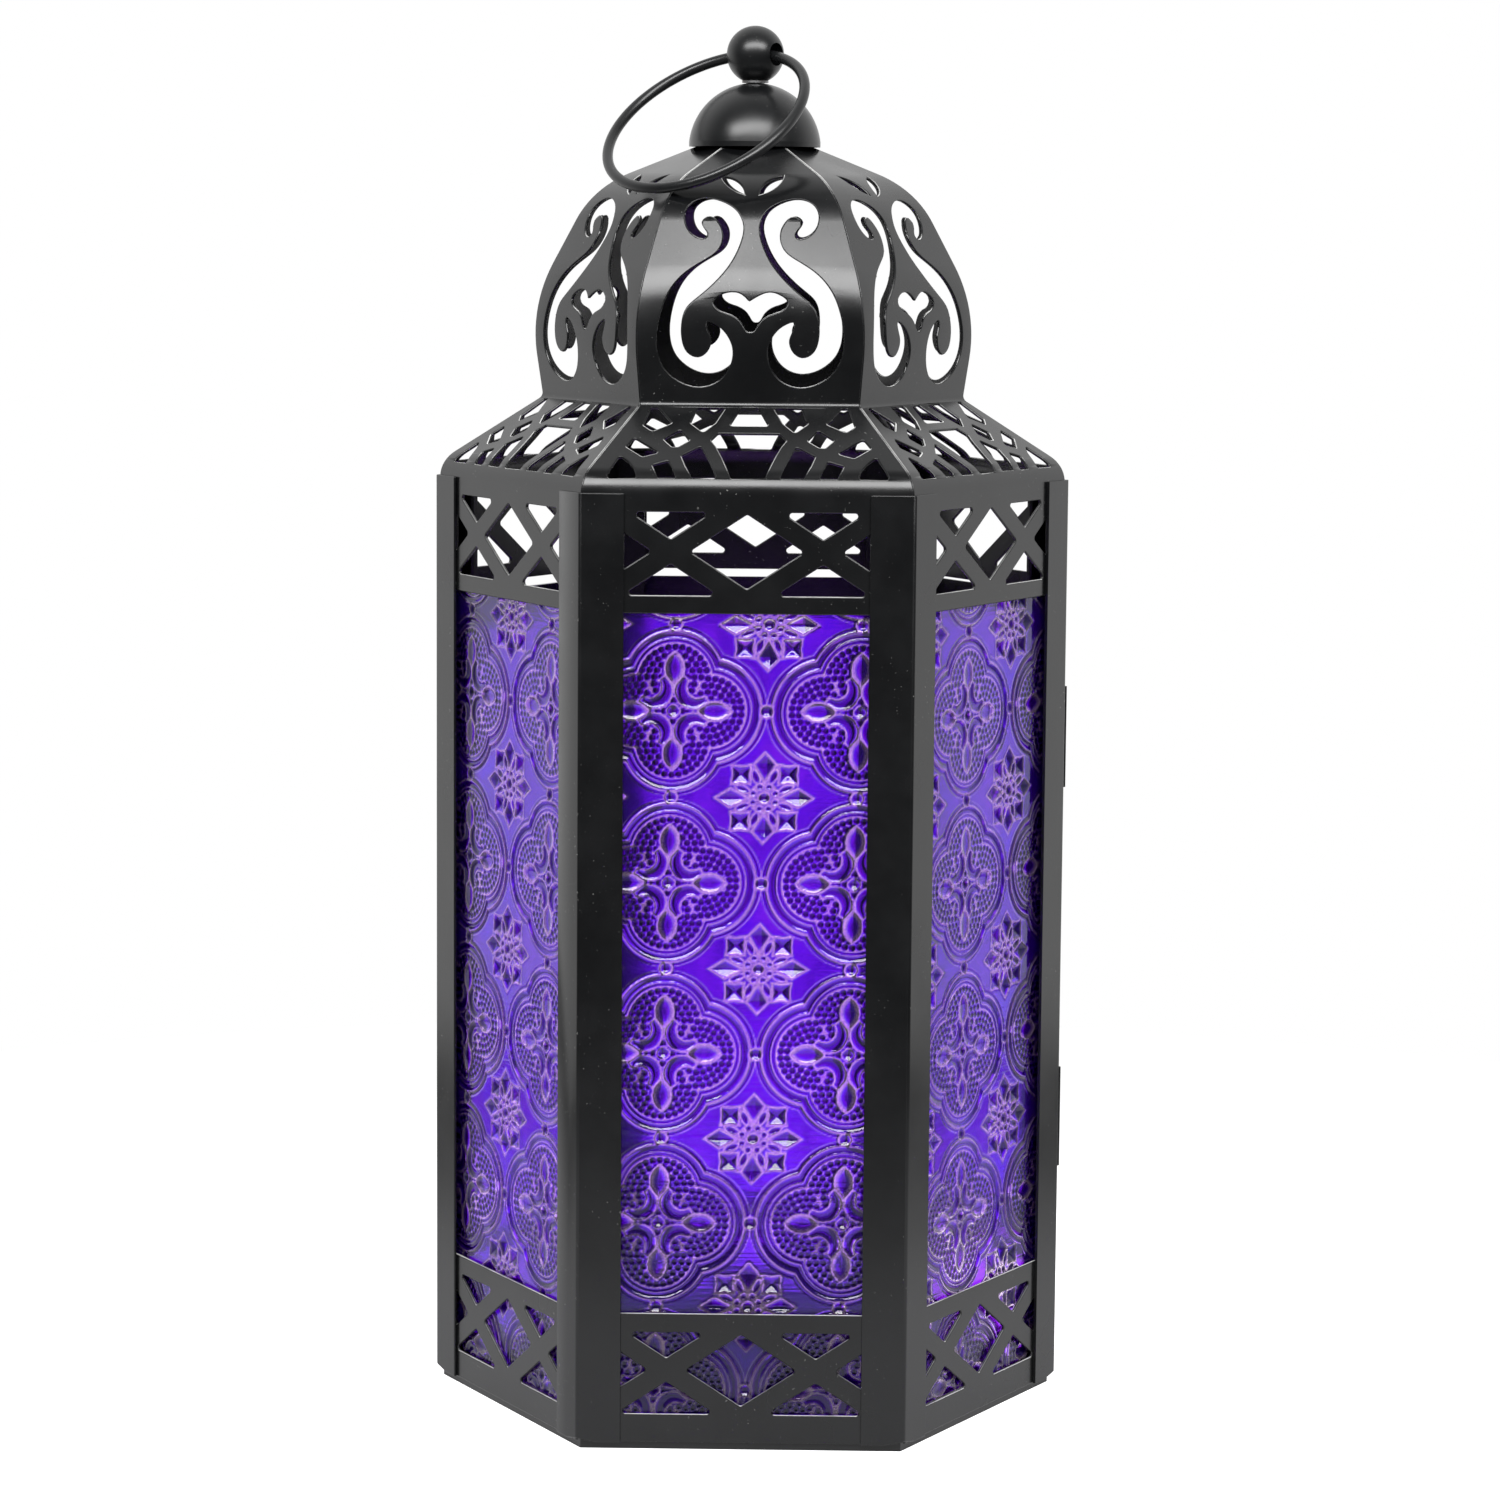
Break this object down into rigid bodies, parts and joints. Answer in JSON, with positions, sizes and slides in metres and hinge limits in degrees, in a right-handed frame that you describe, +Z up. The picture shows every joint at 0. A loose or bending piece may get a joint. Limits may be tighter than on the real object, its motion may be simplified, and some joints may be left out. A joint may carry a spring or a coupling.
{
  "type": "metal lantern",
  "caption": "Hexagonal pierced metal candle lantern with an onion-shaped scrollwork roof, coloured pressed-glass sides, a hinged side door and a ring handle on a ball finial.",
  "frame": {"origin": "centre of the base tray's underside, on the lantern's vertical axis", "axes": "+Z up; the front side faces -Y, with corner posts on +X and -X; the door is on the side between +X and the rear, facing 30 degrees from +X towards +Y"},
  "size_m": [0.1402, 0.1212, 0.3026],
  "materials": {
    "black_steel": "satin black powder coat over thin sheet steel, soft highlights, slight unevenness",
    "black_fitting": "semi-gloss black enamel on turned and cast fittings",
    "black_wire": "satin black coated steel wire",
    "steel_fastener": "dull blackened steel",
    "violet_glass": "figured pressed glass, deep violet-blue, glossy relief"
  },
  "bodies": {
    "lantern": {"base_tray": "black_steel", "candle_cup": "black_steel", "corner_post_1": "black_steel", "pane_retainer_1": "black_steel", "roof_petal_1": "black_steel", "lower_lattice_1": "black_steel", "corner_post_2": "black_steel", "pane_retainer_2": "black_steel", "roof_petal_2": "black_steel", "lower_lattice_2": "black_steel", "corner_post_3": "black_steel", "pane_retainer_3": "black_steel", "roof_petal_3": "black_steel", "lower_lattice_3": "black_steel", "corner_post_4": "black_steel", "pane_retainer_4": "black_steel", "roof_petal_4": "black_steel", "lower_lattice_4": "black_steel", "corner_post_5": "black_steel", "pane_retainer_5": "black_steel", "roof_petal_5": "black_steel", "lower_lattice_5": "black_steel", "corner_post_6": "black_steel", "pane_retainer_6": "black_steel", "roof_petal_6": "black_steel", "lower_lattice_6": "black_steel", "glass_pane_1": "violet_glass", "glass_pane_2": "violet_glass", "glass_pane_4": "violet_glass", "glass_pane_5": "violet_glass", "glass_pane_6": "violet_glass", "roof_cap": "black_fitting", "finial_ball": "black_fitting", "lower_post_leaf": "black_fitting", "upper_post_leaf": "black_fitting", "cup_rivets": "steel_fastener", "finial_stem": "steel_fastener", "roof_washer": "steel_fastener", "stem_nut": "steel_fastener", "post_leaf_rivets": "steel_fastener", "hinge_pins": "steel_fastener", "door_catch_plates": "steel_fastener", "catch_rivets": "steel_fastener"},
    "door": {"door_frame": "black_steel", "door_glass": "violet_glass", "door_glass_clips": "steel_fastener", "door_knob": "black_fitting", "lower_door_leaf": "black_fitting", "upper_door_leaf": "black_fitting", "door_leaf_rivets": "steel_fastener"},
    "ring": {"ring_handle": "black_wire"}
  },
  "joints": [
    {"name": "door_swing", "type": "hinge", "parent": "lantern", "child": "door", "pos_m": [0.06666, 0.00915, 0.1043], "axis": [0, 0, -1], "range_deg": [0, 165]},
    {"name": "ring_swing", "type": "hinge", "parent": "lantern", "child": "ring", "pos_m": [0, 0, 0.2963], "axis": [-0.809, 0.5878, 0], "range_deg": [0, 259]}
  ]
}
